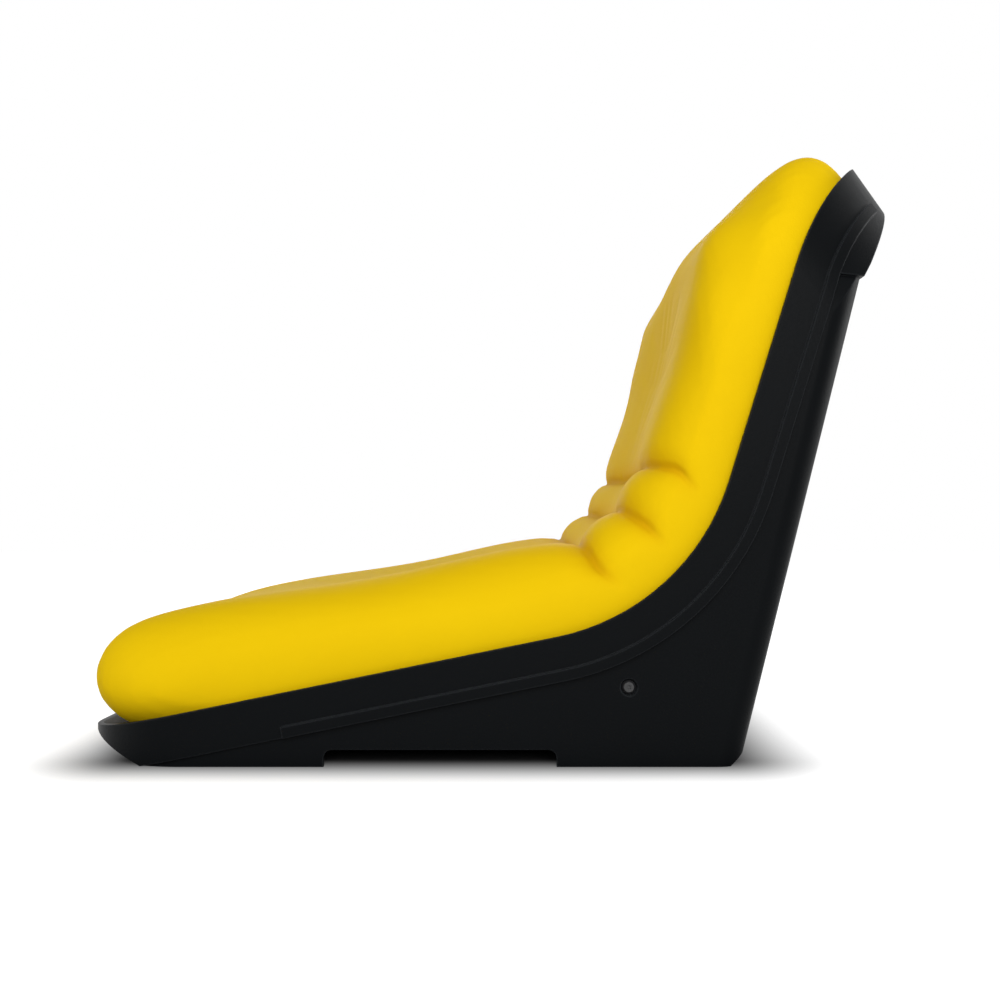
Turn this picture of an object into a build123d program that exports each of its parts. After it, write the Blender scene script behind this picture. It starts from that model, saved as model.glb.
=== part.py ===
from build123d import *
import os
from math import cos, degrees, pi, radians, sin, sqrt, tan

os.makedirs("parts", exist_ok=True)

# Utility vehicle seat. X runs across the seat, Y to the rear, Z up; millimetres and degrees.
# The origin is the middle of the four mounting threads, on the base plane.

# Rim line seen from the side: where the cushion meets the shell
SEAT_ANGLE = 11.5
BACK_ANGLE = 17.2
SEAT_RIM = 447.0
BACK_RIM = 255.0
BEND_RADIUS = 160.0
CURL_RADIUS = 175.0
CURL_ANGLE = 37.5

# Shell
SHELL_WIDTH = 490.0
WALL = 4.0
TUB_DEPTH = 31.0
FRONT_RAKE = 56.0
FRONT_CORNER = 80.0
TOP_CORNER = 110.0
BEAD_WIDTH = 8.0
BEAD_PROUD = 2.5
BEAD_START = 150.0
BEAD_MARGIN = 30.0
PEDESTAL_INSET = 3.0
REAR_ANGLE = 13.9
REAR_OFFSET = 39.0
REAR_WALL = 6.0
REAR_CORNER = 18.0
HEEL = 9.0
LIP_DROP = 8.0
LIP_SLOPE = 10.0
LIP_DEPTH = 36.0
LIP_PROUD = 3.5
CAVITY_MARGIN = 12.0
LIP_REACH = 40.0

# Side notches in the skirt of the shell
NOTCH_FRONT_GAP = 70.875
NOTCH_REAR_GAP = 50.875
NOTCH_HEIGHT = 12.0
NOTCH_ROUND = 6.0

# Stiffening ribs under the tub and flutes in the rear wall
RIB_COUNT = 5
RIB_PITCH = 80.0
RIB_WALL = 3.0
RIB_DEPTH = 8.0
RIB_GAP = 33.0
FLUTE_COUNT = 5
FLUTE_PITCH = 74.0
FLUTE_WIDTH = 56.0
FLUTE_LOW = 70.0
FLUTE_HIGH = 305.0
FLUTE_DEPTH = 2.0
FLUTE_ROUND = 14.0

# Cushion
SIDE_INSET = 4.0
BOLSTER_WIDTH = 63.0
TUCK_WIDTH = 51.0
CUSHION_GAP = 0.3
SIDE_HEIGHT = 22.0
TUCK_HEIGHT = 8.0
NOSE_START = 2.5
NOSE_LENGTH = 68.0
NOSE_FOOT = 62.0
NOSE_PROFILE = ((0.33, 0.91), (0.09, 0.76), (0.0, 0.55), (0.2, 0.28), (0.57, 0.1))
TOP_MARGIN = 7.0
SHOULDER_LENGTH = 78.0
TOP_ROLL = 24.0
TOP_FOOT = 18.0
TOP_PROFILE = ((0.08, 0.25), (0.0, 0.53), (0.25, 0.83))
SHOULDER_SHARE = 0.6
FRONT_HEIGHT = 70.0
SEAT_HEIGHT = 62.5
PLEAT_HEIGHT = 60.5
LUMBAR_HEIGHT = 54.0
BACK_HEIGHT = 60.0
TOP_HEIGHT = 40.0
GROOVE_DEPTH = 7.0
GROOVE_LIP = 20.0
FIRST_GROOVE = 17.9
GROOVE_PITCH = 21.3
DISH = 0.3
NOSE_DISH = 0.08
FRONT_CORNER_EXTRA = 2.0
TOP_CORNER_EXTRA = 6.0
SEAT_STEPS = (1 / 3, 2 / 3, 0.9)
BOLSTER_STEPS = (0.11, 0.43, 0.67, 0.84, 0.95, 1.0)

# Steel cross bars and the vehicle mounting threads
MOUNT_LENGTH = 285.75
FRONT_REACH = 110.15
MOUNT_WIDTH = 203.2
BAR_WIDTH = 36.0
BAR_STEEL = 3.0
BAR_HOLE = 10.8
MOUNT_HEADROOM = 3.05
EAR_MARGIN = 10.0
EAR_GAP = 2.0
JOGGLE_REACH = 36.0
JOGGLE_RUN = 12.0
JOGGLE_RISE = 4.0
BAR_END = 20.0
BOSS_INSET = 59.0
BOSS_RADIUS = 9.0

# Fasteners
THREAD = 8.0
NUT_FLATS = 13.0
NUT_HEIGHT = 6.0
SIDE_SCREW_DROP = 14.2
SIDE_SCREW = 5.0
SIDE_HEAD = 9.6
SIDE_HEAD_HEIGHT = 2.8
SIDE_RECESS = 12.0
SIDE_RECESS_DEPTH = 3.0
SIDE_NUT_FLATS = 8.0
SIDE_NUT_HEIGHT = 4.0
SIDE_SCREW_END = 1.0
BOSS_SCREW = 5.0
BOSS_SCREW_LENGTH = 10.0
BOSS_HEAD = 9.0
BOSS_HEAD_HEIGHT = 3.0
CLEARANCE = 0.3
CLIP_MARGIN = 45.0
SEAT_CLIP_PITCH = 140.0
BACK_CLIP_PITCH = 70.0
CLIP_HEAD = 16.0
CLIP_PLATE = 2.0
CLIP_STEM = 6.0
CLIP_BARB = 8.0
CLIP_TIP = 3.0
CLIP_LENGTH = 12.0

# Corner of the rim line, so that the front lip is ahead of the mounting threads and the tub above their nuts
CORNER_Y = SEAT_RIM * cos(radians(SEAT_ANGLE)) - MOUNT_LENGTH / 2 - FRONT_REACH
CORNER_Z = ((CORNER_Y + MOUNT_LENGTH / 2) * tan(radians(SEAT_ANGLE)) + TUB_DEPTH / cos(radians(SEAT_ANGLE))
            + BAR_STEEL + NUT_HEIGHT + MOUNT_HEADROOM)

# Stations along the rim line, counted from the front lip
HALF = SHELL_WIDTH / 2
TURN = 90 - SEAT_ANGLE - BACK_ANGLE
TANGENT = BEND_RADIUS * tan(radians(TURN / 2))
SEAT_END = SEAT_RIM - TANGENT
BEND_END = SEAT_END + radians(TURN) * BEND_RADIUS
BACK_END = BEND_END + BACK_RIM - TANGENT
RIM_END = BACK_END + radians(CURL_ANGLE) * CURL_RADIUS
CAVITY_END = BACK_END - CAVITY_MARGIN
LIP_STATION = BACK_END + LIP_REACH
RIB_START = SEAT_RIM - (CORNER_Y + (MOUNT_LENGTH - BAR_WIDTH) / 2 - RIB_GAP) / cos(radians(SEAT_ANGLE))
CLIP_STATIONS = (SEAT_END - CLIP_MARGIN - SEAT_CLIP_PITCH, SEAT_END - CLIP_MARGIN,
                 BEND_END + CLIP_MARGIN, BEND_END + CLIP_MARGIN + BACK_CLIP_PITCH)
NOTCH_FRONT = NOTCH_FRONT_GAP - MOUNT_LENGTH / 2
NOTCH_REAR = MOUNT_LENGTH / 2 - NOTCH_REAR_GAP
FAR = 200.0
EASE = 0.05


def along(angle):
    """Direction of the rim line at a heading above the horizontal."""
    return Vector(0, cos(radians(angle)), sin(radians(angle)))


def raised(angle):
    """Direction towards the sitter, square to the rim line."""
    return Vector(0, -sin(radians(angle)), cos(radians(angle)))


CORNER = Vector(0, CORNER_Y, CORNER_Z)
BEND_START_POINT = CORNER - along(SEAT_ANGLE) * TANGENT
BEND_CENTRE = BEND_START_POINT + raised(SEAT_ANGLE) * BEND_RADIUS
CURL_START_POINT = CORNER + along(90 - BACK_ANGLE) * BACK_RIM
CURL_CENTRE = CURL_START_POINT - raised(90 - BACK_ANGLE) * CURL_RADIUS
REAR_Y = CORNER_Y + REAR_OFFSET
LIP_Z = CURL_START_POINT.Z - LIP_DROP


def heading(station):
    """Angle of the rim line above the horizontal at a station."""
    if station <= SEAT_END:
        return SEAT_ANGLE
    if station <= BEND_END:
        return SEAT_ANGLE + degrees((station - SEAT_END) / BEND_RADIUS)
    if station <= BACK_END:
        return 90 - BACK_ANGLE
    return 90 - BACK_ANGLE - degrees((station - BACK_END) / CURL_RADIUS)


def rim(station, height=0.0, x=0.0):
    """Point at a station of the rim line, a height above it, at a place across the seat."""
    angle = heading(station)
    if station <= SEAT_END:
        point = BEND_START_POINT + along(angle) * (station - SEAT_END) + raised(angle) * height
    elif station <= BEND_END:
        point = BEND_CENTRE - raised(angle) * (BEND_RADIUS - height)
    elif station <= BACK_END:
        point = CURL_START_POINT + along(angle) * (station - BACK_END) + raised(angle) * height
    else:
        point = CURL_CENTRE + raised(angle) * (CURL_RADIUS + height)
    return point + Vector(x, 0, 0)


def run(height, start, end):
    """Edges that follow the rim line at one height between two stations."""
    stops = [start] + [s for s in (SEAT_END, BEND_END, BACK_END) if start < s < end] + [end]
    edges = []
    for first, last in zip(stops, stops[1:]):
        middle = (first + last) / 2
        if middle < SEAT_END or BEND_END < middle < BACK_END:
            edges.append(Edge.make_line(rim(first, height), rim(last, height)))
        else:
            edges.append(Edge.make_three_point_arc(
                rim(first, height), rim(middle, height), rim(last, height)))
    return edges


def front_station(height, grow):
    """Station of the raked front face at a height, moved outwards by grow."""
    return -height * tan(radians(FRONT_RAKE)) - grow / cos(radians(FRONT_RAKE))


def rear_point(z, inset=0.0):
    """Point of the leaning rear plane at a height, moved forwards by inset."""
    return Vector(0, REAR_Y + z * tan(radians(REAR_ANGLE)) - inset / cos(radians(REAR_ANGLE)), z)


def prism(edges, half):
    """Solid of a closed side outline, symmetric across the seat."""
    return extrude(Face(Wire(edges)), amount=half, dir=(1, 0, 0), both=True)


def above(z):
    """Large block that starts at a height."""
    return Pos(0, 0, z) * Box(8 * FAR, 8 * FAR, 8 * FAR, align=(Align.CENTER, Align.CENTER, Align.MIN))


def corner_cutter(corner, edge, side, radius):
    """Block that leaves a round of a radius where a side face meets an end face."""
    plane = Plane(origin=corner, x_dir=(side, 0, 0), z_dir=edge * side)
    block = Pos(-radius, -radius) * Rectangle(2 * radius, 2 * radius, align=(Align.MIN, Align.MIN))
    block -= Pos(EASE - radius, EASE - radius) * Circle(radius)
    return extrude(plane * block, amount=2 * FAR, both=True)


def rounded(part, grow):
    """Part with the front and top corners of the outline rounded, the outline moved out by grow."""
    top_edge = raised(heading(RIM_END))
    for side in (1, -1):
        front_corner = Vector(side * (HALF + grow), rim(0).Y - grow, 0)
        top_corner = rim(RIM_END + grow, 0, side * (HALF + grow))
        part -= corner_cutter(front_corner, Vector(0, 0, -1), side, FRONT_CORNER + grow)
        part -= corner_cutter(top_corner, top_edge, side, TOP_CORNER + grow)
    return part


def band(high, low, grow):
    """Rounded slice of the tub between two heights of the rim line."""
    outline = run(high, front_station(high, grow), RIM_END + grow)
    outline.append(Edge.make_line(rim(RIM_END + grow, high), rim(RIM_END + grow, low)))
    outline += run(low, front_station(low, grow), RIM_END + grow)
    outline.append(Edge.make_line(rim(front_station(low, grow), low), rim(front_station(high, grow), high)))
    return rounded(prism(outline, HALF + grow), grow)


# Places shared by several pieces
SIDE_FACE = HALF - PEDESTAL_INSET
EAR_FACE = SIDE_FACE - WALL - EAR_GAP
FLOOR = WALL - TUB_DEPTH
SEAT_SLOPE = tan(radians(SEAT_ANGLE))
SIDE_SCREW_Z = (CORNER_Z - (CORNER_Y - MOUNT_LENGTH / 2) * SEAT_SLOPE - TUB_DEPTH / cos(radians(SEAT_ANGLE))
                - SIDE_SCREW_DROP)
BOSS_X = HALF - BOSS_INSET
CUSHION_HALF = HALF - SIDE_INSET
CREST_X = CUSHION_HALF - BOLSTER_WIDTH
FLAT_X = CUSHION_HALF - TUCK_WIDTH
CLIP_X = (RIB_COUNT / 2 - 1) * RIB_PITCH
MOUNT_POINTS = [(x * MOUNT_WIDTH / 2, y * MOUNT_LENGTH / 2) for y in (-1, 1) for x in (-1, 1)]
CLIP_PLANES = [Plane(origin=rim(s, FLOOR, x), x_dir=(1, 0, 0), z_dir=raised(heading(s)))
               for s in CLIP_STATIONS for x in (-CLIP_X, CLIP_X)]
REAR_PLANE = Plane(origin=rear_point((FLUTE_LOW + FLUTE_HIGH) / 2), x_dir=(-1, 0, 0),
                   z_dir=(0, cos(radians(REAR_ANGLE)), -sin(radians(REAR_ANGLE))))


def side_axis(side, x):
    """Place on the axis of a side screw, looking outwards."""
    return Plane(origin=(side * x, MOUNT_LENGTH / 2, SIDE_SCREW_Z), z_dir=(side, 0, 0))


def rear_rounded(block, half, inset, radius):
    """Block with its two rear corners rounded."""
    middle = rear_point(LIP_Z / 2, inset)
    corners = [block.edges().sort_by_distance(middle + Vector(x, 0, 0))[0] for x in (half, -half)]
    return fillet(corners, radius)


def pedestal_block():
    """Box below the seat and behind the back, with rounded rear corners."""
    middle = -TUB_DEPTH / 2
    start = front_station(-TUB_DEPTH, 0) + WALL
    foot = rim(start, middle)
    crown = rim(LIP_STATION, middle)
    outline = run(middle, start, LIP_STATION)
    outline.append(Edge.make_line(crown, rear_point(crown.Z)))
    corner_points = [rear_point(crown.Z), rear_point(HEEL), rear_point(0, HEEL), Vector(0, foot.Y, 0), foot]
    outline += [Edge.make_line(a, b) for a, b in zip(corner_points, corner_points[1:])]
    block = rear_rounded(prism(outline, SIDE_FACE), SIDE_FACE, 0, REAR_CORNER)
    return rounded(block, -PEDESTAL_INSET)


def bead_block():
    """Raised bead along the lower edge of the tub, which draws off to the rear of the curled top."""
    high = BEAD_WIDTH - TUB_DEPTH
    drop = LIP_DEPTH - TUB_DEPTH
    end = RIM_END - BEAD_MARGIN
    middle = (BACK_END + end) / 2

    def curl(height):
        """Edge along the curled top that starts at a height and ends lower."""
        points = [rim(BACK_END, height), rim(middle, height - drop / 2), rim(end, height - drop)]
        return Edge.make_three_point_arc(*points)

    outline = run(high, BEAD_START, BACK_END) + [curl(high)]
    outline.append(Edge.make_line(rim(end, high - drop), rim(end, -TUB_DEPTH - drop)))
    outline += run(-TUB_DEPTH, BEAD_START, BACK_END) + [curl(-TUB_DEPTH)]
    outline.append(Edge.make_line(rim(BEAD_START, -TUB_DEPTH), rim(BEAD_START, high)))
    return rounded(prism(outline, HALF + BEAD_PROUD), BEAD_PROUD)


def lip_block():
    """Lip that thickens the curled top behind the bead."""
    high = BEAD_WIDTH - TUB_DEPTH
    outline = run(high, BACK_END, RIM_END)
    outline.append(Edge.make_line(rim(RIM_END, high), rim(RIM_END, -LIP_DEPTH)))
    outline.append(Edge.make_line(rim(RIM_END, -LIP_DEPTH), rear_point(LIP_Z + LIP_SLOPE, -LIP_PROUD)))
    outline.append(Edge.make_line(rear_point(LIP_Z + LIP_SLOPE, -LIP_PROUD), rear_point(LIP_Z)))
    outline.append(Edge.make_line(rear_point(LIP_Z), rim(BACK_END, high)))
    return rounded(prism(outline, HALF), 0)


def hollow():
    """Hollow of the pedestal, open below."""
    start = front_station(-TUB_DEPTH, 0)
    top = rear_point(rim(CAVITY_END, -TUB_DEPTH).Z, REAR_WALL)
    foot = rear_point(-TUB_DEPTH, REAR_WALL)
    outline = run(-TUB_DEPTH, start, CAVITY_END)
    outline.append(Edge.make_line(rim(CAVITY_END, -TUB_DEPTH), top))
    outline.append(Edge.make_line(top, foot))
    outline.append(Edge.make_line(foot, rim(start, -TUB_DEPTH)))
    grow = -PEDESTAL_INSET - WALL
    block = rear_rounded(prism(outline, HALF + grow), HALF + grow, REAR_WALL, REAR_CORNER - WALL)
    return rounded(block, grow)


def rib():
    """Web that stiffens the underside of the tub from the seat up the back."""
    root = FLOOR - WALL / 2
    edge = -TUB_DEPTH - RIB_DEPTH
    outline = run(root, RIB_START, CAVITY_END)
    outline.append(Edge.make_line(rim(CAVITY_END, root), rim(CAVITY_END, edge)))
    outline += run(edge, RIB_START, CAVITY_END)
    outline.append(Edge.make_line(rim(RIB_START, edge), rim(RIB_START, root)))
    return prism(outline, RIB_WALL / 2)


def shell():
    """One moulding: tub, bead, pedestal, ribs, bosses and skirt."""
    body = band(0, -TUB_DEPTH, 0) & above(0)
    body += bead_block()
    body += pedestal_block()
    body += lip_block()
    body -= hollow()
    body -= Pos(0, REAR_Y, 0) * Box(2 * (SIDE_FACE - REAR_CORNER), 2 * REAR_CORNER, 2 * WALL)
    for index in range(RIB_COUNT):
        body += Pos((index - (RIB_COUNT - 1) / 2) * RIB_PITCH, 0, 0) * rib()
    for side in (1, -1):
        boss_place = Pos(side * BOSS_X, -MOUNT_LENGTH / 2, JOGGLE_RISE + BAR_STEEL)
        body += boss_place * extrude(Circle(BOSS_RADIUS), amount=TUB_DEPTH / 2)
        body += side_axis(side, EAR_FACE) * extrude(Circle(SIDE_RECESS), amount=WALL)
    body -= band(5 * WALL, FLOOR, -WALL) & above(WALL)
    for side in (1, -1):
        body -= side_axis(side, SIDE_FACE - SIDE_RECESS_DEPTH) * extrude(Circle(SIDE_RECESS / 2), amount=FAR)
        body -= side_axis(side, EAR_FACE - WALL) * extrude(Circle(SIDE_SCREW / 2 + CLEARANCE), amount=FAR)
        body -= Pos(side * BOSS_X, -MOUNT_LENGTH / 2, 0) * extrude(
            Circle(BOSS_SCREW / 2), amount=JOGGLE_RISE + BOSS_SCREW_LENGTH + CLEARANCE)
        notch = Pos(side * HALF, (NOTCH_FRONT + NOTCH_REAR) / 2, 0) * Box(
            4 * (PEDESTAL_INSET + WALL), NOTCH_REAR - NOTCH_FRONT, 2 * NOTCH_HEIGHT)
        body -= fillet(notch.edges().filter_by(Axis.X), NOTCH_ROUND)
    for plane in CLIP_PLANES:
        hole = CLIP_STEM + 2 * CLEARANCE
        body -= plane * extrude(Rectangle(hole, hole), amount=2 * WALL, both=True)
    flute = extrude(RectangleRounded(FLUTE_WIDTH, FLUTE_HIGH - FLUTE_LOW, FLUTE_ROUND),
                    amount=FLUTE_DEPTH, both=True)
    for index in range(FLUTE_COUNT):
        body -= REAR_PLANE * Pos((index - (FLUTE_COUNT - 1) / 2) * FLUTE_PITCH, 0, 0) * flute
    return body


def quarter(part):
    """Height of a quarter circle of radius one at a share of its width, one before it starts."""
    return sqrt(max(0.0, 1 - max(0.0, part) ** 2))


def setback(across, radius):
    """Distance that a rounded corner of the cushion draws back at a place across the seat."""
    return radius * (1 - quarter((across - CUSHION_HALF + radius) / radius))


def cushion_section(x):
    """Closed side outline of the cushion at one place across the seat."""
    across = abs(x)
    roll = quarter((across - CREST_X) / (CUSHION_HALF - CREST_X))
    tuck = 1 - quarter((across - FLAT_X) / (CUSHION_HALF - FLAT_X))
    hollow_share = cos(pi / 2 * min(1.0, across / CREST_X)) ** 2
    low = FLOOR + CUSHION_GAP + tuck * (TUCK_HEIGHT - FLOOR - CUSHION_GAP)
    first = NOSE_START + setback(across, FRONT_CORNER + FRONT_CORNER_EXTRA)
    last = RIM_END - TOP_MARGIN - setback(across, TOP_CORNER + TOP_CORNER_EXTRA)

    def top(height, dish=DISH):
        """Height of the upper face where the crest of the bolster has a height."""
        return SIDE_HEIGHT + (height - SIDE_HEIGHT) * roll * (1 - dish * hollow_share)

    def share(part, height):
        """Height at a share of the way from the lower to the upper face at the nose or the top."""
        return low + part * (top(height, NOSE_DISH) - low)

    def spline(points, tangents=None):
        """Smooth edge through stations and heights."""
        return Edge.make_spline([rim(s, h, x) for s, h in points], tangents=tangents, scale=False)

    def into_groove(station, forward, upward):
        """Direction of the outline where it enters or leaves a groove."""
        angle = heading(station)
        return (along(angle) * forward + raised(angle) * upward).normalized()

    grooves = [SEAT_END + radians(FIRST_GROOVE + i * GROOVE_PITCH) * BEND_RADIUS for i in range(3)]
    valley = top(PLEAT_HEIGHT) - GROOVE_DEPTH * roll
    middle = (SEAT_END + BEND_END) / 2
    edges = [Edge.make_line(rim(first + NOSE_FOOT, low, x), rim(SEAT_END, low, x)),
             Edge.make_three_point_arc(rim(SEAT_END, low, x), rim(middle, low, x), rim(BEND_END, low, x))]
    rear_length = last - TOP_FOOT - BEND_END
    edges.append(spline([(BEND_END + rear_length * i / 9, low) for i in range(10)]))
    shoulder = last - SHOULDER_LENGTH
    taper = (TOP_HEIGHT + BACK_HEIGHT) / 2 - GROOVE_DEPTH / 3
    crown = [(last - TOP_ROLL * back, share(part, TOP_HEIGHT)) for back, part in TOP_PROFILE]
    edges.append(spline(
        [(last - TOP_FOOT, low)] + crown + [
            (last - TOP_ROLL, top(TOP_HEIGHT, NOSE_DISH)),
            (last - SHOULDER_LENGTH * SHOULDER_SHARE, top(taper, NOSE_DISH)),
            (shoulder, top(BACK_HEIGHT, (DISH + NOSE_DISH) / 2)),
            ((shoulder + grooves[2]) / 2, top(LUMBAR_HEIGHT)),
            (grooves[2] + GROOVE_LIP, top(LUMBAR_HEIGHT + GROOVE_DEPTH / 3)),
            (grooves[2], valley)],
        [along(heading(last)), into_groove(grooves[2], -1, -roll / 2)]))
    for lower, upper in ((grooves[1], grooves[2]), (grooves[0], grooves[1])):
        pitch = upper - lower
        flank = top(PLEAT_HEIGHT) - GROOVE_DEPTH * roll / 4
        edges.append(spline([
            (upper, valley), (upper - pitch / 5, flank), ((upper + lower) / 2, top(PLEAT_HEIGHT)),
            (lower + pitch / 5, flank), (lower, valley)]))
    front = first + NOSE_LENGTH
    nose = [(first + NOSE_LENGTH * back, share(part, FRONT_HEIGHT)) for back, part in NOSE_PROFILE]
    edges.append(spline(
        [(grooves[0], valley), (grooves[0] - GROOVE_LIP, top(PLEAT_HEIGHT)),
         ((front + grooves[0]) / 2, top(SEAT_HEIGHT)), (front, top(FRONT_HEIGHT, NOSE_DISH))]
        + nose + [(first + NOSE_FOOT, low)],
        [into_groove(grooves[0], -1, roll), along(SEAT_ANGLE)]))
    return Wire(edges)


def cushion():
    """One bonded pad, lofted from side to side through its side outlines."""
    half = [CREST_X * part for part in SEAT_STEPS]
    half += [CREST_X + BOLSTER_WIDTH * part for part in BOLSTER_STEPS]
    places = [-x for x in reversed(half)] + [0.0] + half
    body = Part() + Solid.make_loft([cushion_section(x) for x in places])
    for plane in CLIP_PLANES:
        pocket = CLIP_HEAD + 2 * CLEARANCE
        body -= plane * extrude(Rectangle(pocket, pocket), amount=CLIP_PLATE + CLEARANCE)
    return body


def clips():
    """Push-in clips of square section that hold the cushion on the floor of the tub."""
    neck = WALL + CLEARANCE
    clip = extrude(Rectangle(CLIP_HEAD, CLIP_HEAD), amount=CLIP_PLATE)
    clip += extrude(Rectangle(CLIP_STEM, CLIP_STEM), amount=-neck)
    clip += loft([Pos(0, 0, -neck) * Rectangle(CLIP_BARB, CLIP_BARB),
                  Pos(0, 0, -CLIP_LENGTH) * Rectangle(CLIP_TIP, CLIP_TIP)])
    return Compound(children=[(plane * clip).solid() for plane in CLIP_PLANES])


def rear_bar():
    """Folded strip with an ear at each end, held by the side screws."""
    outer = EAR_FACE
    inner = EAR_FACE - BAR_STEEL
    high = SIDE_SCREW_Z + EAR_MARGIN
    points = [(-outer, high), (-outer, 0), (outer, 0), (outer, high), (inner, high),
              (inner, BAR_STEEL), (-inner, BAR_STEEL), (-inner, high)]
    bar = extrude(Plane.XZ * make_face(Polyline(*points, close=True)), amount=BAR_WIDTH / 2, both=True)
    bar = fillet(bar.edges().filter_by(Axis.Y).group_by(Axis.Z)[0], BAR_STEEL * 1.5)
    bar = fillet(bar.edges().filter_by(Axis.X).group_by(Axis.Z)[-1], BAR_WIDTH / 3)
    bar = Pos(0, MOUNT_LENGTH / 2, 0) * bar
    for side in (1, -1):
        bar -= side_axis(side, EAR_FACE - 2 * BAR_STEEL) * extrude(
            Circle(SIDE_SCREW / 2 + CLEARANCE), amount=FAR / 2)
    return bored(bar)


def front_bar():
    """Strip with raised ends that screw to the bosses of the shell."""
    end = BOSS_X + BAR_END
    step = BOSS_X - JOGGLE_REACH
    lower = [(-end, JOGGLE_RISE), (-step - JOGGLE_RUN, JOGGLE_RISE), (-step, 0),
             (step, 0), (step + JOGGLE_RUN, JOGGLE_RISE), (end, JOGGLE_RISE)]
    upper = [(x, z + BAR_STEEL) for x, z in reversed(lower)]
    bar = extrude(Plane.XZ * make_face(Polyline(*lower, *upper, close=True)), amount=BAR_WIDTH / 2, both=True)
    bar = Pos(0, -MOUNT_LENGTH / 2, 0) * fillet(bar.edges().filter_by(Axis.Z), BAR_WIDTH / 4)
    for side in (1, -1):
        bar -= Pos(side * BOSS_X, -MOUNT_LENGTH / 2, 0) * Cylinder(BOSS_SCREW / 2 + CLEARANCE, FAR / 2)
    return bored(bar)


def bored(bar):
    """Bar with the clearance holes of the mounting threads."""
    for x, y in MOUNT_POINTS:
        bar -= Pos(x, y, 0) * Cylinder(BAR_HOLE / 2, 3 * BAR_STEEL)
    return bar


def nut(flats, height, bore):
    """Hexagon nut that stands on the origin."""
    return extrude(RegularPolygon(flats / 2, 6, major_radius=False) - Circle(bore / 2), amount=height)


def mount_nuts():
    """Weld nuts with a pilot collar in the bar, and the threads that the vehicle's bolts enter."""
    body = nut(NUT_FLATS, NUT_HEIGHT, THREAD)
    body += extrude(Circle((BAR_HOLE - CLEARANCE) / 2) - Circle(THREAD / 2), amount=-BAR_STEEL)
    return Compound(children=[(Pos(x, y, BAR_STEEL) * body).solid() for x, y in MOUNT_POINTS])


def screw(shank, length, head, head_height):
    """Button head screw with a hexagon socket: head below the origin, shank upwards."""
    body = Pos(0, 0, -head_height) * extrude(Circle(head / 2), amount=head_height)
    body = chamfer(body.edges().group_by(Axis.Z)[0], head_height / 2)
    body -= Pos(0, 0, -head_height) * extrude(RegularPolygon(shank / 3, 6), amount=head_height / 2)
    return body + extrude(Circle(shank / 2), amount=length)


def side_screws():
    """Screws through the side walls into the ears of the rear bar."""
    seat = SIDE_FACE - SIDE_RECESS_DEPTH
    length = seat - EAR_FACE + BAR_STEEL + SIDE_NUT_HEIGHT + SIDE_SCREW_END
    body = Rot(180, 0, 0) * screw(SIDE_SCREW, length, SIDE_HEAD, SIDE_HEAD_HEIGHT)
    return Compound(children=[(side_axis(side, seat) * body).solid() for side in (1, -1)])


def side_nuts():
    """Weld nuts on the inner faces of the ears."""
    body = Rot(180, 0, 0) * nut(SIDE_NUT_FLATS, SIDE_NUT_HEIGHT, SIDE_SCREW + 2 * CLEARANCE)
    return Compound(children=[(side_axis(side, EAR_FACE - BAR_STEEL) * body).solid() for side in (1, -1)])


def boss_screws():
    """Hexagon screws that hold the front bar up against the bosses."""
    body = extrude(RegularPolygon(BOSS_HEAD / 2, 6, major_radius=False), amount=-BOSS_HEAD_HEIGHT)
    body += extrude(Circle((BOSS_SCREW - CLEARANCE / 3) / 2), amount=BOSS_SCREW_LENGTH)
    return Compound(children=[(Pos(side * BOSS_X, -MOUNT_LENGTH / 2, JOGGLE_RISE) * body).solid()
                              for side in (1, -1)])


PIECES = {
    "base_shell": shell,
    "seat_cushion": cushion,
    "cushion_clips": clips,
    "rear_bar": rear_bar,
    "front_bar": front_bar,
    "mount_nuts": mount_nuts,
    "side_screws": side_screws,
    "side_nuts": side_nuts,
    "boss_screws": boss_screws,
}

for name, build in PIECES.items():
    export_step(build(), f"parts/{name}.step")
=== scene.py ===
"""Looks of a utility vehicle seat: a padded cushion in a black moulded shell on steel cross bars."""

import logging
import math
from dataclasses import dataclass
from enum import Enum

import bpy
import numpy as np
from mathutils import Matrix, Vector


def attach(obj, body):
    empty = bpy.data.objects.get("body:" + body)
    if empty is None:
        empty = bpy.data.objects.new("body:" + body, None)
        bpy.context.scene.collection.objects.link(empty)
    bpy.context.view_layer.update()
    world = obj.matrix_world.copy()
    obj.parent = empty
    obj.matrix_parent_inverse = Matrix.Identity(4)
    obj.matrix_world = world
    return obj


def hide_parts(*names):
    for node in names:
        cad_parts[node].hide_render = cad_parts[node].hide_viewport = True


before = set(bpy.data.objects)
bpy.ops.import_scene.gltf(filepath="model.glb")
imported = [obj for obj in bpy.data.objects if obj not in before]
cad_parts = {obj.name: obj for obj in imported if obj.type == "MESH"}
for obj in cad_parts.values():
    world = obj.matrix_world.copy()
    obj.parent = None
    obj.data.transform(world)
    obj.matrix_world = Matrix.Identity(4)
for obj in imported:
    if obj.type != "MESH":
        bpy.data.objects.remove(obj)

LOG = logging.getLogger("seat")
BODY = "root"
Colour = tuple[float, float, float]
Place = tuple[float, float, float]
Socket = bpy.types.NodeSocket
MIX_FIRST, MIX_SECOND, MIX_COLOUR = 6, 7, 2


class Lamp(Enum):
    """Soft lamps of the studio."""

    KEY = "key_softbox"
    FRONT = "front_softbox"
    REAR = "rear_softbox"
    FAR = "far_softbox"


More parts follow.
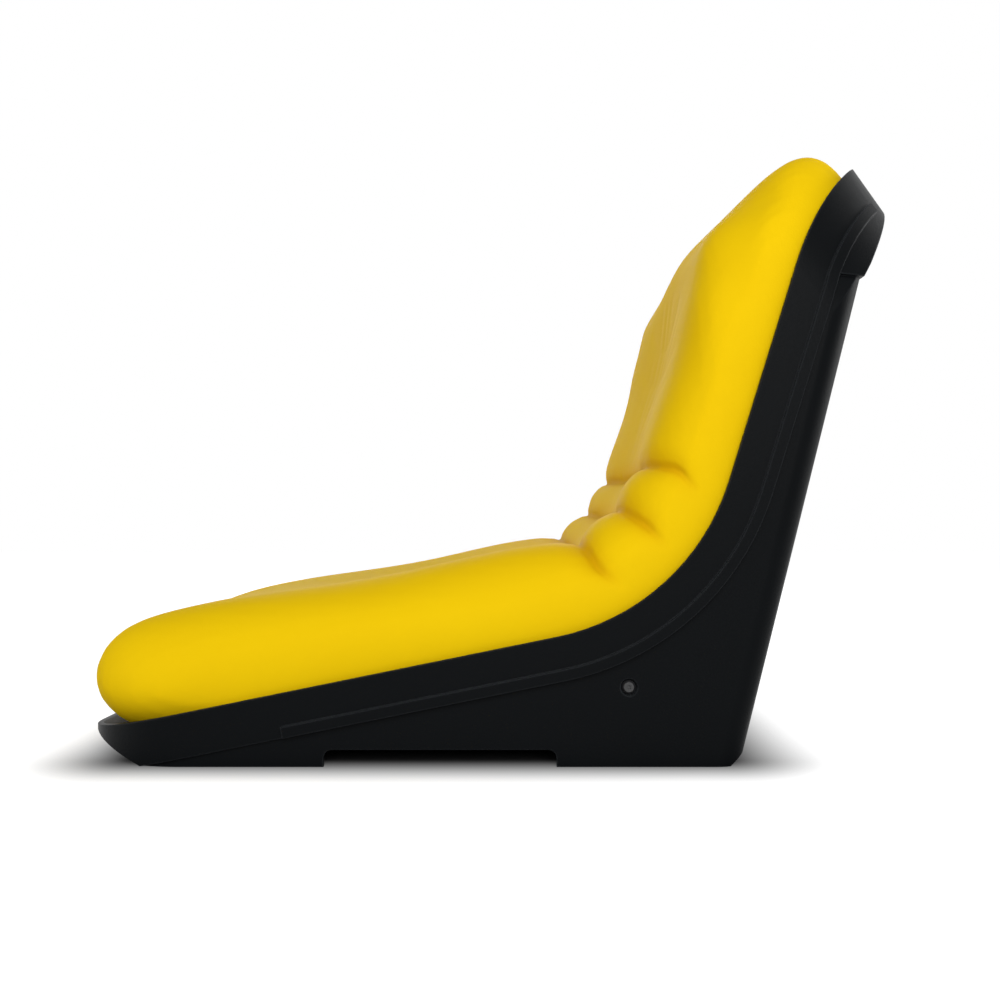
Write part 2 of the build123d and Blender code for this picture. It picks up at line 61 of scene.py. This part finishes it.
class NodeBoard:
    """Places and links the nodes of one node tree."""

    def __init__(self, tree: bpy.types.NodeTree) -> None:
        """Keeps the tree that the nodes go to."""
        self.tree = tree

    def add(self, kind: str, **values: object) -> bpy.types.Node:
        """Adds a node.

        Args:
            kind: Blender's name of the node type.
            values: attributes that are set on the node.

        Returns:
            The new node.
        """
        node = self.tree.nodes.new(kind)
        for name, value in values.items():
            setattr(node, name, value)
        return node

    def link(self, source: Socket, target: Socket) -> None:
        """Links two sockets."""
        self.tree.links.new(source, target)

    def math(self, operation: str, *values: Socket | float) -> Socket:
        """Adds a Math node whose inputs are sockets or numbers.

        Args:
            operation: name of the operation.
            values: its inputs, as many as it takes.

        Returns:
            The node's output.
        """
        node = self.add("ShaderNodeMath", operation=operation)
        for socket, value in zip(node.inputs, values):
            if isinstance(value, Socket):
                self.link(value, socket)
            else:
                socket.default_value = value
        return node.outputs[0]

    def blend(self, share: Socket, first: Socket | Colour, second: Socket | Colour) -> Socket:
        """Adds a Mix node for colours that are sockets or plain colours.

        Args:
            share: socket with the share of the second colour.
            first: first colour.
            second: second colour.

        Returns:
            The node's colour output.
        """
        node = self.add("ShaderNodeMix", data_type="RGBA")
        self.link(share, node.inputs["Factor"])
        for place, value in ((MIX_FIRST, first), (MIX_SECOND, second)):
            if isinstance(value, Socket):
                self.link(value, node.inputs[place])
            else:
                node.inputs[place].default_value = (*value, 1.0)
        return node.outputs[MIX_COLOUR]

    def spread(self, value: Socket, low: float, high: float) -> Socket:
        """Adds a Map Range node from 0 and 1 to two values.

        Args:
            value: socket with values from 0 to 1.
            low: result at 0.
            high: result at 1.

        Returns:
            The node's output.
        """
        node = self.add("ShaderNodeMapRange")
        node.inputs["To Min"].default_value = low
        node.inputs["To Max"].default_value = high
        self.link(value, node.inputs["Value"])
        return node.outputs["Result"]


class Effects:
    """Shader node groups that several finishes share."""

    GRAIN = "moulded_grain"
    MOTTLE = "soft_mottle"
    EDGE = "rounded_edge"

    @staticmethod
    def start(
            name: str, inputs: dict[str, float], outputs: dict[str, str],
    ) -> tuple[NodeBoard, bpy.types.Node, bpy.types.Node]:
        """Makes an empty group.

        Args:
            name: name of the group.
            inputs: names and default values of its number inputs.
            outputs: names and socket types of its outputs.

        Returns:
            The board of the group, its input node and its output node.
        """
        tree = bpy.data.node_groups.new(name, "ShaderNodeTree")
        for label, value in inputs.items():
            socket = tree.interface.new_socket(label, in_out="INPUT", socket_type="NodeSocketFloat")
            socket.default_value = value
        for label, kind in outputs.items():
            tree.interface.new_socket(label, in_out="OUTPUT", socket_type=kind)
        board = NodeBoard(tree)
        return board, board.add("NodeGroupInput"), board.add("NodeGroupOutput")

    @classmethod
    def grain(cls) -> None:
        """Pebbled grain of coated cloth and of spark-eroded moulds, as a height."""
        inputs = {"Scale": 900.0, "Pebble": 0.6}
        board, given, made = cls.start(cls.GRAIN, inputs, {"Height": "NodeSocketFloat"})
        place = board.add("ShaderNodeTexCoord").outputs["Object"]
        warp = board.add("ShaderNodeTexNoise")
        warp.inputs["Detail"].default_value = 2.0
        board.link(place, warp.inputs["Vector"])
        board.link(board.math("MULTIPLY", given.outputs["Scale"], 0.4), warp.inputs["Scale"])
        pebble = board.add("ShaderNodeTexVoronoi", feature="SMOOTH_F1")
        pebble.inputs["Smoothness"].default_value = 0.35
        board.link(place, pebble.inputs["Vector"])
        board.link(given.outputs["Scale"], pebble.inputs["Scale"])
        domes = board.math("SUBTRACT", 1.0, pebble.outputs["Distance"])
        raised = board.math("MULTIPLY", domes, given.outputs["Pebble"])
        board.link(board.math("ADD", raised, warp.outputs["Fac"]), made.inputs["Height"])

    @classmethod
    def mottle(cls) -> None:
        """Slow unevenness of a surface, as a value from 0 to 1."""
        inputs = {"Scale": 9.0, "Contrast": 1.0}
        board, given, made = cls.start(cls.MOTTLE, inputs, {"Value": "NodeSocketFloat"})
        place = board.add("ShaderNodeTexCoord").outputs["Object"]
        cloud = board.add("ShaderNodeTexNoise")
        cloud.inputs["Detail"].default_value = 4.0
        cloud.inputs["Roughness"].default_value = 0.6
        board.link(place, cloud.inputs["Vector"])
        board.link(given.outputs["Scale"], cloud.inputs["Scale"])
        centred = board.math("SUBTRACT", cloud.outputs["Fac"], 0.5)
        stretched = board.math("MULTIPLY_ADD", centred, given.outputs["Contrast"], 0.5)
        board.link(stretched, made.inputs["Value"])

    @classmethod
    def edge(cls) -> None:
        """Small round on sharp edges, as a normal and as a mask."""
        outputs = {"Normal": "NodeSocketVector", "Mask": "NodeSocketFloat"}
        board, given, made = cls.start(cls.EDGE, {"Radius": 0.0015}, outputs)
        bevel = board.add("ShaderNodeBevel", samples=4)
        board.link(given.outputs["Radius"], bevel.inputs["Radius"])
        flat = board.add("ShaderNodeNewGeometry").outputs["Normal"]
        facing = board.add("ShaderNodeVectorMath", operation="DOT_PRODUCT")
        board.link(bevel.outputs["Normal"], facing.inputs[0])
        board.link(flat, facing.inputs[1])
        board.link(bevel.outputs["Normal"], made.inputs["Normal"])
        board.link(board.math("SUBTRACT", 1.0, facing.outputs["Value"]), made.inputs["Mask"])

    @classmethod
    def build(cls) -> None:
        """Makes all groups once."""
        cls.grain()
        cls.mottle()
        cls.edge()


@dataclass(frozen=True)
class Finish:
    """Surface of one material."""

    name: str
    colour: Colour
    shade: Colour
    roughness: tuple[float, float]
    specular: float
    grain_scale: float
    grain_depth: float
    grain_strength: float
    mottle_scale: float
    metallic: float = 0.0
    edge_radius: float = 0.0
    # lighter colour painted on sharp edges as a highlight, and how strongly the edge mask paints it
    edge_highlight_colour: Colour = (0.0, 0.0, 0.0)
    edge_highlight_gain: float = 6.0
    # name of a stored mask that paints shade into creases, and the darker colour of that painted shade
    crease_shade: str = ""
    crease_shade_colour: Colour = (0.0, 0.0, 0.0)

    def place(self, board: NodeBoard, group: str, **values: float) -> bpy.types.Node:
        """Places a shared effect.

        Args:
            board: board of the material.
            group: name of the node group.
            values: numbers for its inputs.

        Returns:
            The group node.
        """
        node = board.add("ShaderNodeGroup", node_tree=bpy.data.node_groups[group])
        for label, value in values.items():
            node.inputs[label].default_value = value
        return node

    def tint(self, board: NodeBoard, cloud: Socket, edge: Socket | None) -> Socket:
        """Mixes the two colours, and paints highlights on sharp edges and shade in pleat creases where
        the piece has them.

        Args:
            board: board of the material.
            cloud: socket with the share of the main colour.
            edge: socket with the mask of the sharp edges, if they are rounded.

        Returns:
            Socket with the colour.
        """
        colour = board.blend(cloud, self.shade, self.colour)
        if edge is not None:
            # painted highlight: sharp edges are mixed towards a lighter colour
            edge_highlight = board.math("MINIMUM", board.math("MULTIPLY", edge, self.edge_highlight_gain), 1.0)
            colour = board.blend(edge_highlight, colour, self.edge_highlight_colour)
        # painted shade: the pleat creases are mixed towards a darker colour
        if self.crease_shade:
            crease_shade = board.add("ShaderNodeAttribute", attribute_name=self.crease_shade)
            colour = board.blend(crease_shade.outputs["Fac"], colour, self.crease_shade_colour)
        return colour

    def material(self) -> bpy.types.Material:
        """Builds the material.

        Returns:
            The material, with its colour, roughness and grain worked out by nodes.
        """
        made = bpy.data.materials.new(self.name)
        made.use_nodes = True
        board = NodeBoard(made.node_tree)
        shader = made.node_tree.nodes["Principled BSDF"]
        shader.inputs["Metallic"].default_value = self.metallic
        shader.inputs["Specular IOR Level"].default_value = self.specular
        cloud = self.place(board, Effects.MOTTLE, Scale=self.mottle_scale).outputs["Value"]
        board.link(board.spread(cloud, *self.roughness), shader.inputs["Roughness"])
        grain = self.place(board, Effects.GRAIN, Scale=self.grain_scale)
        bump = board.add("ShaderNodeBump")
        bump.inputs["Strength"].default_value = self.grain_strength
        bump.inputs["Distance"].default_value = self.grain_depth
        board.link(grain.outputs["Height"], bump.inputs["Height"])
        mask = None
        if self.edge_radius:
            edge = self.place(board, Effects.EDGE, Radius=self.edge_radius)
            mask = edge.outputs["Mask"]
            board.link(edge.outputs["Normal"], bump.inputs["Normal"])
        board.link(self.tint(board, cloud, mask), shader.inputs["Base Color"])
        board.link(bump.outputs["Normal"], shader.inputs["Normal"])
        return made


# The cushion skin gets painted shade, a darker orange, in its pleat creases.
CUSHION_SKIN = Finish(
    name="cushion_skin", colour=(0.94, 0.63, 0.004), shade=(0.9, 0.57, 0.004), roughness=(0.46, 0.6),
    specular=0.004, grain_scale=850.0, grain_depth=0.0003, grain_strength=0.25, mottle_scale=7.0,
    crease_shade="crease_shade", crease_shade_colour=(0.55, 0.25, 0.002))
# The shell and the steels get painted highlights: a lighter colour along their sharp edges.
SHELL_PLASTIC = Finish(
    name="shell_plastic", colour=(0.0038, 0.0046, 0.0054), shade=(0.0028, 0.0034, 0.004),
    roughness=(0.34, 0.46), specular=0.04,
    grain_scale=1300.0, grain_depth=0.00018, grain_strength=0.35, mottle_scale=11.0,
    edge_radius=0.0016, edge_highlight_colour=(0.03, 0.033, 0.036))
CLIP_PLASTIC = Finish(
    name="clip_plastic", colour=(0.02, 0.02, 0.021), shade=(0.014, 0.014, 0.015), roughness=(0.4, 0.55),
    specular=0.35, grain_scale=1500.0, grain_depth=0.0001, grain_strength=0.2, mottle_scale=60.0)
COATED_STEEL = Finish(
    name="coated_steel", colour=(0.014, 0.0145, 0.015), shade=(0.009, 0.0092, 0.0095),
    roughness=(0.3, 0.45), specular=0.45,
    grain_scale=420.0, grain_depth=0.00012, grain_strength=0.3, mottle_scale=16.0,
    edge_radius=0.0006, edge_highlight_colour=(0.03, 0.03, 0.031))
PLATED_STEEL = Finish(
    name="plated_steel", colour=(0.62, 0.6, 0.53), shade=(0.5, 0.49, 0.46), roughness=(0.25, 0.4),
    specular=0.5, grain_scale=2200.0, grain_depth=0.00006, grain_strength=0.2, mottle_scale=90.0,
    metallic=1.0, edge_radius=0.0003, edge_highlight_colour=(0.7, 0.68, 0.62))
BLACK_STEEL = Finish(
    name="black_steel", colour=(0.016, 0.016, 0.017), shade=(0.01, 0.01, 0.011), roughness=(0.28, 0.4),
    specular=0.5, grain_scale=1800.0, grain_depth=0.00006, grain_strength=0.2, mottle_scale=80.0,
    edge_radius=0.0004, edge_highlight_colour=(0.04, 0.04, 0.042))


class Bench:
    """Handwork on meshes that several pieces share."""

    @staticmethod
    def pick(piece: bpy.types.Object) -> None:
        """Selects one piece alone and makes it active."""
        bpy.ops.object.select_all(action="DESELECT")
        piece.select_set(True)
        bpy.context.view_layer.objects.active = piece

    @classmethod
    def copy_node(cls, node: str, name: str) -> bpy.types.Object:
        """Copies the mesh of a frame node into a new piece, its loose triangles merged.

        Args:
            node: name of the node.
            name: name of the new piece.

        Returns:
            The new piece, selected alone.
        """
        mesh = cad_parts[node].data.copy()
        piece = bpy.data.objects.new(name, mesh)
        bpy.context.scene.collection.objects.link(piece)
        cls.pick(piece)
        bpy.ops.object.mode_set(mode="EDIT")
        bpy.ops.mesh.select_all(action="SELECT")
        bpy.ops.mesh.remove_doubles(threshold=0.00005)
        bpy.ops.object.mode_set(mode="OBJECT")
        return piece

    @classmethod
    def finish_modifier(cls, piece: bpy.types.Object, kind: str, **values: object) -> None:
        """Adds a modifier and applies it.

        Args:
            piece: piece that it changes.
            kind: type of the modifier.
            values: settings of the modifier.
        """
        cls.pick(piece)
        modifier = piece.modifiers.new(kind.lower(), kind)
        for name, value in values.items():
            setattr(modifier, name, value)
        bpy.ops.object.modifier_apply(modifier=modifier.name)

    @staticmethod
    def points(piece: bpy.types.Object) -> np.ndarray:
        """Places of the vertices, one row each."""
        places = np.empty(len(piece.data.vertices) * 3)
        piece.data.vertices.foreach_get("co", places)
        return places.reshape(-1, 3)

    @staticmethod
    def normals(piece: bpy.types.Object) -> np.ndarray:
        """Normals of the vertices, one row each."""
        normals = np.empty(len(piece.data.vertices) * 3)
        piece.data.vertices.foreach_get("normal", normals)
        return normals.reshape(-1, 3)

    @staticmethod
    def move_to(piece: bpy.types.Object, places: np.ndarray) -> None:
        """Moves the vertices to new places."""
        piece.data.vertices.foreach_set("co", places.ravel())
        piece.data.update()

    @staticmethod
    def dress(piece: bpy.types.Object, material: bpy.types.Material) -> None:
        """Gives a piece one material all over."""
        piece.data.materials.clear()
        piece.data.materials.append(material)


@dataclass
class RimLine:
    """Line where the cushion meets the shell, seen from the side: seat, bend, back and curled top."""

    seat_angle: float = math.radians(11.5)
    back_angle: float = math.radians(90.0 - 17.2)
    corner: tuple[float, float] = (0.185, 0.1104)
    bend_radius: float = 0.160
    back_rim: float = 0.255
    curl_radius: float = 0.175

    @staticmethod
    def along(angle: float) -> np.ndarray:
        """Direction of the line at a heading, as y and z."""
        return np.array((math.cos(angle), math.sin(angle)))

    @staticmethod
    def raised(angle: float) -> np.ndarray:
        """Direction towards the sitter at a heading, as y and z."""
        return np.array((-math.sin(angle), math.cos(angle)))

    def bend_centre(self) -> np.ndarray:
        """Centre of the bend, as y and z."""
        tangent = self.bend_radius * math.tan((self.back_angle - self.seat_angle) / 2)
        start = np.array(self.corner) - self.along(self.seat_angle) * tangent
        return start + self.raised(self.seat_angle) * self.bend_radius

    def turn(self, places: np.ndarray) -> np.ndarray:
        """Heading of the radius from the bend's centre to each place."""
        arm = places[:, 1:] - self.bend_centre()
        return np.arctan2(arm[:, 0], -arm[:, 1])

    def height(self, places: np.ndarray) -> np.ndarray:
        """Height of each place above the line, towards the sitter.

        Args:
            places: points, one row each.

        Returns:
            Heights in metres.
        """
        flat = places[:, 1:]
        corner = np.array(self.corner)
        curl_start = corner + self.along(self.back_angle) * self.back_rim
        curl_centre = curl_start - self.raised(self.back_angle) * self.curl_radius
        seat = (flat - corner) @ self.raised(self.seat_angle)
        bend = self.bend_radius - np.linalg.norm(flat - self.bend_centre(), axis=1)
        back = (flat - corner) @ self.raised(self.back_angle)
        curl = np.linalg.norm(flat - curl_centre, axis=1) - self.curl_radius
        past = (flat - curl_start) @ self.along(self.back_angle) > 0
        turn = self.turn(places)
        upper = np.where(past, curl, back)
        return np.where(turn < self.seat_angle, seat, np.where(turn < self.back_angle, bend, upper))


@dataclass(frozen=True)
class Stuffing:
    """Extra or missing filling at one place along the back."""

    station: float
    length: float
    change: float

    def at(self, stations: np.ndarray) -> np.ndarray:
        """Change of height at each station along the back."""
        return self.change * np.exp(-((stations - self.station) / self.length) ** 2)


@dataclass
class Cushion:
    """Padded seat and back in one, with pleats at the bend."""

    rim: RimLine
    node: str = "seat_cushion"
    name: str = "cushion_pad"
    voxel: float = 0.007
    pressure: float = 4.0
    frames: int = 20
    cap: float = 0.005
    foam_hold: float = 0.15
    held_below: float = 0.004
    first_pleat: float = math.radians(17.9)
    pleat_pitch: float = math.radians(21.3)
    pleat_lean: tuple[float, ...] = (math.radians(2.6), math.radians(-1.5), math.radians(-5.3))
    pleat_depth: float = 0.0028
    pleat_width: float = 0.003
    valley_depth: float = 0.0026
    valley_width: float = 0.009
    pleat_zone: float = 0.0102
    fade_low: float = 0.011
    fade_high: float = 0.042
    head: Stuffing = Stuffing(station=0.287, length=0.035, change=0.0095)
    head_half: float = 0.17
    crown: Stuffing = Stuffing(station=0.303, length=0.024, change=-0.0055)
    shoulder: Stuffing = Stuffing(station=0.237, length=0.02, change=-0.002)
    # weights of the painted crease shade on the pleat line and in its wider valley
    crease_shade_line: float = 0.3
    crease_shade_valley: float = 0.25
    fill: float = 0.9

    def pleat_distance(self, places: np.ndarray) -> np.ndarray:
        """Distance of each place from the nearest pleat line, along the surface.

        Args:
            places: points, one row each.

        Returns:
            Distances in metres.
        """
        turn = self.rim.turn(places)
        reach = np.linalg.norm(places[:, 1:] - self.rim.bend_centre(), axis=1)
        number = np.arange(len(self.pleat_lean))
        lines = self.rim.seat_angle + self.first_pleat + self.pleat_pitch * number
        lean = (1 - self.pleat_share(places))[:, None] * np.array(self.pleat_lean)
        return (np.abs(turn[:, None] - lines - lean) * reach[:, None]).min(axis=1)

    def pleat_share(self, places: np.ndarray) -> np.ndarray:
        """Share of the full pleat depth, which fades out down the sides."""
        above = self.rim.height(places) - self.fade_low
        part = np.clip(above / (self.fade_high - self.fade_low), 0, 1)
        return part * part * (3 - 2 * part)

    def shape(self, pad: bpy.types.Object) -> None:
        """Stuffs the middle of the head end more than its two sides."""
        places = Bench.points(pad)
        station = (places[:, 1:] - np.array(self.rim.corner)) @ self.rim.along(self.rim.back_angle)
        middle = np.cos(np.clip(np.abs(places[:, 0]) / self.head_half, 0, 1) * math.pi / 2) ** 2
        sides = self.crown.at(station) + self.shoulder.at(station)
        change = middle * self.head.at(station) + (1 - middle) * sides
        change *= self.pleat_share(places)
        Bench.move_to(pad, places + Bench.normals(pad) * change[:, None])

    def hold(self, pad: bpy.types.Object) -> str:
        """Pins the underside and the pleats for the simulation, and the rest lightly, as foam does.

        Args:
            pad: the pad.

        Returns:
            Name of the vertex group.
        """
        places = Bench.points(pad)
        group = pad.vertex_groups.new(name="held")
        weight = np.exp(-(self.pleat_distance(places) / self.pleat_width) ** 2)
        weight *= self.pleat_share(places)
        weight[self.rim.height(places) < self.held_below] = 1.0
        for index, value in enumerate(np.maximum(weight, self.foam_hold)):
            group.add([index], float(value), "REPLACE")
        return group.name

    def inflate(self, pad: bpy.types.Object) -> None:
        """Swells the pad as a tight cloth skin, and caps how far a point moves."""
        before = Bench.points(pad)
        cloth = pad.modifiers.new("cloth", "CLOTH")
        cloth.settings.quality = 5
        cloth.settings.use_pressure = True
        cloth.settings.uniform_pressure_force = self.pressure
        cloth.settings.effector_weights.gravity = 0.0
        cloth.settings.vertex_group_mass = self.hold(pad)
        cloth.point_cache.frame_end = self.frames
        for number in range(1, self.frames + 1):
            bpy.context.scene.frame_set(number)
        Bench.pick(pad)
        bpy.ops.object.modifier_apply(modifier=cloth.name)
        moved = Bench.points(pad) - before
        length = np.linalg.norm(moved, axis=1, keepdims=True)
        LOG.info("cushion swelled by up to %.1f mm", 1000 * length.max())
        share = np.minimum(1.0, self.cap / np.maximum(length, 1e-9))
        Bench.move_to(pad, before + moved * share)
        bpy.context.scene.frame_set(1)

    def refine_pleats(self, pad: bpy.types.Object) -> None:
        """Gives the faces beside the pleats smaller edges."""
        Bench.pick(pad)
        places = Bench.points(pad)
        near = (self.pleat_distance(places) < self.pleat_zone) & (self.pleat_share(places) > 0)
        bpy.ops.object.mode_set(mode="EDIT")
        bpy.ops.mesh.select_mode(type="VERT")
        bpy.ops.mesh.select_all(action="DESELECT")
        bpy.ops.object.mode_set(mode="OBJECT")
        pad.data.vertices.foreach_set("select", near)
        bpy.ops.object.mode_set(mode="EDIT")
        bpy.ops.mesh.subdivide(number_cuts=2)
        bpy.ops.object.mode_set(mode="OBJECT")

    def crease(self, pad: bpy.types.Object) -> None:
        """Presses the pleats in and stores how deep each point lies in one, as the mask of the painted
        shade in the creases.
        """
        places = Bench.points(pad)
        away = self.pleat_distance(places)
        share = self.pleat_share(places)
        line = np.exp(-(away / self.pleat_width) ** 2) * share
        valley = np.exp(-(away / self.valley_width) ** 2) * share
        depth = self.pleat_depth * line + self.valley_depth * valley
        Bench.move_to(pad, places - Bench.normals(pad) * depth[:, None])
        # painted shade: the pleat lines and valleys get a mask that darkens the skin's colour there
        store = pad.data.attributes.new(CUSHION_SKIN.crease_shade, "FLOAT", "POINT")
        crease_shade = self.crease_shade_line * line + self.crease_shade_valley * valley
        store.data.foreach_set("value", crease_shade.astype(np.float32))

    def build(self) -> bpy.types.Object:
        """Makes the pad.

        Returns:
            The pad, in place of its plain solid.
        """
        pad = Bench.copy_node(self.node, self.name)
        Bench.finish_modifier(pad, "REMESH", mode="VOXEL", voxel_size=self.voxel, use_smooth_shade=True)
        self.shape(pad)
        self.inflate(pad)
        Bench.finish_modifier(pad, "SUBSURF", levels=1, render_levels=1)
        self.refine_pleats(pad)
        self.crease(pad)
        Bench.pick(pad)
        bpy.ops.object.shade_smooth()
        Bench.dress(pad, CUSHION_SKIN.material())
        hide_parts(self.node)
        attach(pad, BODY)
        LOG.info("%s: %d faces", pad.name, len(pad.data.polygons))
        return pad


@dataclass
class Shell:
    """Black moulding that holds the cushion."""

    node: str = "base_shell"

    def dress(self) -> None:
        """Gives the moulding its plastic."""
        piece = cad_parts[self.node]
        Bench.dress(piece, SHELL_PLASTIC.material())
        LOG.info("%s dressed", piece.name)


@dataclass
class Hardware:
    """Cross bars, nuts, screws and clips."""

    coated: tuple[str, ...] = ("rear_bar", "front_bar")
    plated: tuple[str, ...] = ("mount_nuts", "side_nuts", "boss_screws")
    black: tuple[str, ...] = ("side_screws",)
    moulded: tuple[str, ...] = ("cushion_clips",)

    def dress(self) -> None:
        """Gives each piece its metal or plastic."""
        choices = (
            (self.coated, COATED_STEEL), (self.plated, PLATED_STEEL),
            (self.black, BLACK_STEEL), (self.moulded, CLIP_PLASTIC))
        for nodes, finish in choices:
            material = finish.material()
            for node in nodes:
                Bench.dress(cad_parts[node], material)
                LOG.info("%s dressed with %s", node, finish.name)


@dataclass(frozen=True)
class Softbox:
    """Square soft lamp that faces the seat."""

    role: Lamp
    place: Place
    size: float
    power: float


@dataclass
class Studio:
    """Pale floor, soft lamps and the camera."""

    floor_size: float = 12.0
    floor_colour: float = 0.5
    # darker floor colour under the seat, a painted shadow
    painted_shadow_colour: float = 0.06
    foot: tuple[float, float] = (0.215, 0.21)
    shade_reach: float = 0.1
    floor_glow: float = 0.9
    floor_roughness: float = 0.9
    world_side: float = 0.34
    world_top: float = 0.16
    softboxes: tuple[Softbox, ...] = (
        Softbox(Lamp.KEY, (2.2, 0.25, 1.1), 1.3, 35.0),
        Softbox(Lamp.FRONT, (0.6, -2.4, 0.6), 1.4, 13.0),
        Softbox(Lamp.REAR, (-0.5, 2.4, 0.9), 1.4, 22.0),
        Softbox(Lamp.FAR, (-2.4, -0.2, 0.9), 1.5, 14.0))
    aim: Place = (0.0, 0.05, 0.2)
    camera_place: Place = (1.045, 0.0585, 0.1701)
    camera_turn: Place = (math.pi / 2, 0.0, math.pi / 2)
    lens: float = 41.14
    sensor: float = 36.0
    shift: tuple[float, float] = (-0.009, 0.025)

    @staticmethod
    def shown(board: NodeBoard) -> Socket:
        """Adds a mask of the rays that see the white background.

        Args:
            board: board of the floor's material or of the world.

        Returns:
            Socket that is 1 for camera, glossy and transmission rays.
        """
        path = board.add("ShaderNodeLightPath")
        seen, through = path.outputs["Is Camera Ray"], path.outputs["Is Transmission Ray"]
        return board.math("MAXIMUM", board.math("MAXIMUM", seen, through), path.outputs["Is Glossy Ray"])

    def floor(self) -> None:
        """Lays the floor, white to the eye, with painted shadow under the seat, where its colour and
        glow are darker.
        """
        bpy.ops.object.select_all(action="DESELECT")
        bpy.ops.mesh.primitive_plane_add(size=self.floor_size)
        floor = bpy.context.object
        floor.name = "studio_floor"
        material = bpy.data.materials.new("studio_floor")
        material.use_nodes = True
        board = NodeBoard(material.node_tree)
        shader = material.node_tree.nodes["Principled BSDF"]
        shader.inputs["Roughness"].default_value = self.floor_roughness
        shader.inputs["Specular IOR Level"].default_value = 0.0
        shader.inputs["Emission Color"].default_value = (1.0, 1.0, 1.0, 1.0)
        place = board.add("ShaderNodeSeparateXYZ")
        board.link(board.add("ShaderNodeTexCoord").outputs["Object"], place.inputs["Vector"])
        away = []
        for axis, half in zip("XY", self.foot):
            past = board.math("SUBTRACT", board.math("ABSOLUTE", place.outputs[axis]), half)
            away.append(board.math("POWER", board.math("MAXIMUM", past, 0.0), 2.0))
        glow = board.add("ShaderNodeMapRange", interpolation_type="SMOOTHSTEP")
        glow.inputs["From Max"].default_value = self.shade_reach
        board.link(board.math("SQRT", board.math("ADD", *away)), glow.inputs["Value"])
        unshadowed_floor = glow.outputs["Result"]
        # painted shadow: under the seat the floor's colour turns dark grey and its glow fades out
        shadowed_tone = board.blend(unshadowed_floor, (self.painted_shadow_colour,) * 3, (self.floor_colour,) * 3)
        board.link(shadowed_tone, shader.inputs["Base Color"])
        strength = board.math("MULTIPLY", self.shown(board), self.floor_glow)
        board.link(board.math("MULTIPLY", strength, unshadowed_floor), shader.inputs["Emission Strength"])
        Bench.dress(floor, material)

    def world(self) -> None:
        """Lights the scene softly from all round, before a white background."""
        world = bpy.data.worlds.new("studio_world")
        bpy.context.scene.world = world
        world.use_nodes = True
        board = NodeBoard(world.node_tree)
        up = board.add("ShaderNodeSeparateXYZ")
        board.link(board.add("ShaderNodeTexCoord").outputs["Generated"], up.inputs["Vector"])
        soft = board.spread(up.outputs["Z"], self.world_side, self.world_top)
        background = world.node_tree.nodes["Background"]
        background.inputs["Color"].default_value = (1.0, 1.0, 1.0, 1.0)
        board.link(board.math("MAXIMUM", self.shown(board), soft), background.inputs["Strength"])

    def lamp(self, box: Softbox) -> None:
        """Hangs a soft lamp.

        Args:
            box: role, place, length of the sides in metres and power in watts.
        """
        light = bpy.data.lights.new(box.role.value, "AREA")
        light.size = box.size
        light.energy = box.power
        lamp = bpy.data.objects.new(box.role.value, light)
        bpy.context.scene.collection.objects.link(lamp)
        lamp.location = box.place
        heading = Vector(self.aim) - Vector(box.place)
        lamp.rotation_euler = heading.to_track_quat("-Z", "Y").to_euler()

    def camera(self) -> None:
        """Sets the camera at the side of the seat, level with it."""
        data = bpy.data.cameras.new("side_camera")
        data.lens = self.lens
        data.sensor_width = self.sensor
        data.shift_x, data.shift_y = self.shift
        camera = bpy.data.objects.new("side_camera", data)
        bpy.context.scene.collection.objects.link(camera)
        camera.location = self.camera_place
        camera.rotation_euler = self.camera_turn
        bpy.context.scene.camera = camera

    def build(self) -> None:
        """Sets the whole stage."""
        self.floor()
        self.world()
        for box in self.softboxes:
            self.lamp(box)
        self.camera()
        bpy.context.scene.view_settings.view_transform = "Standard"


def main() -> None:
    """Builds the seat's looks."""
    logging.basicConfig(level=logging.INFO, format="%(name)s: %(message)s")
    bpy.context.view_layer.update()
    Effects.build()
    Cushion(RimLine()).build()
    Shell().dress()
    Hardware().dress()
    Studio().build()


if __name__ == "__main__":
    main()
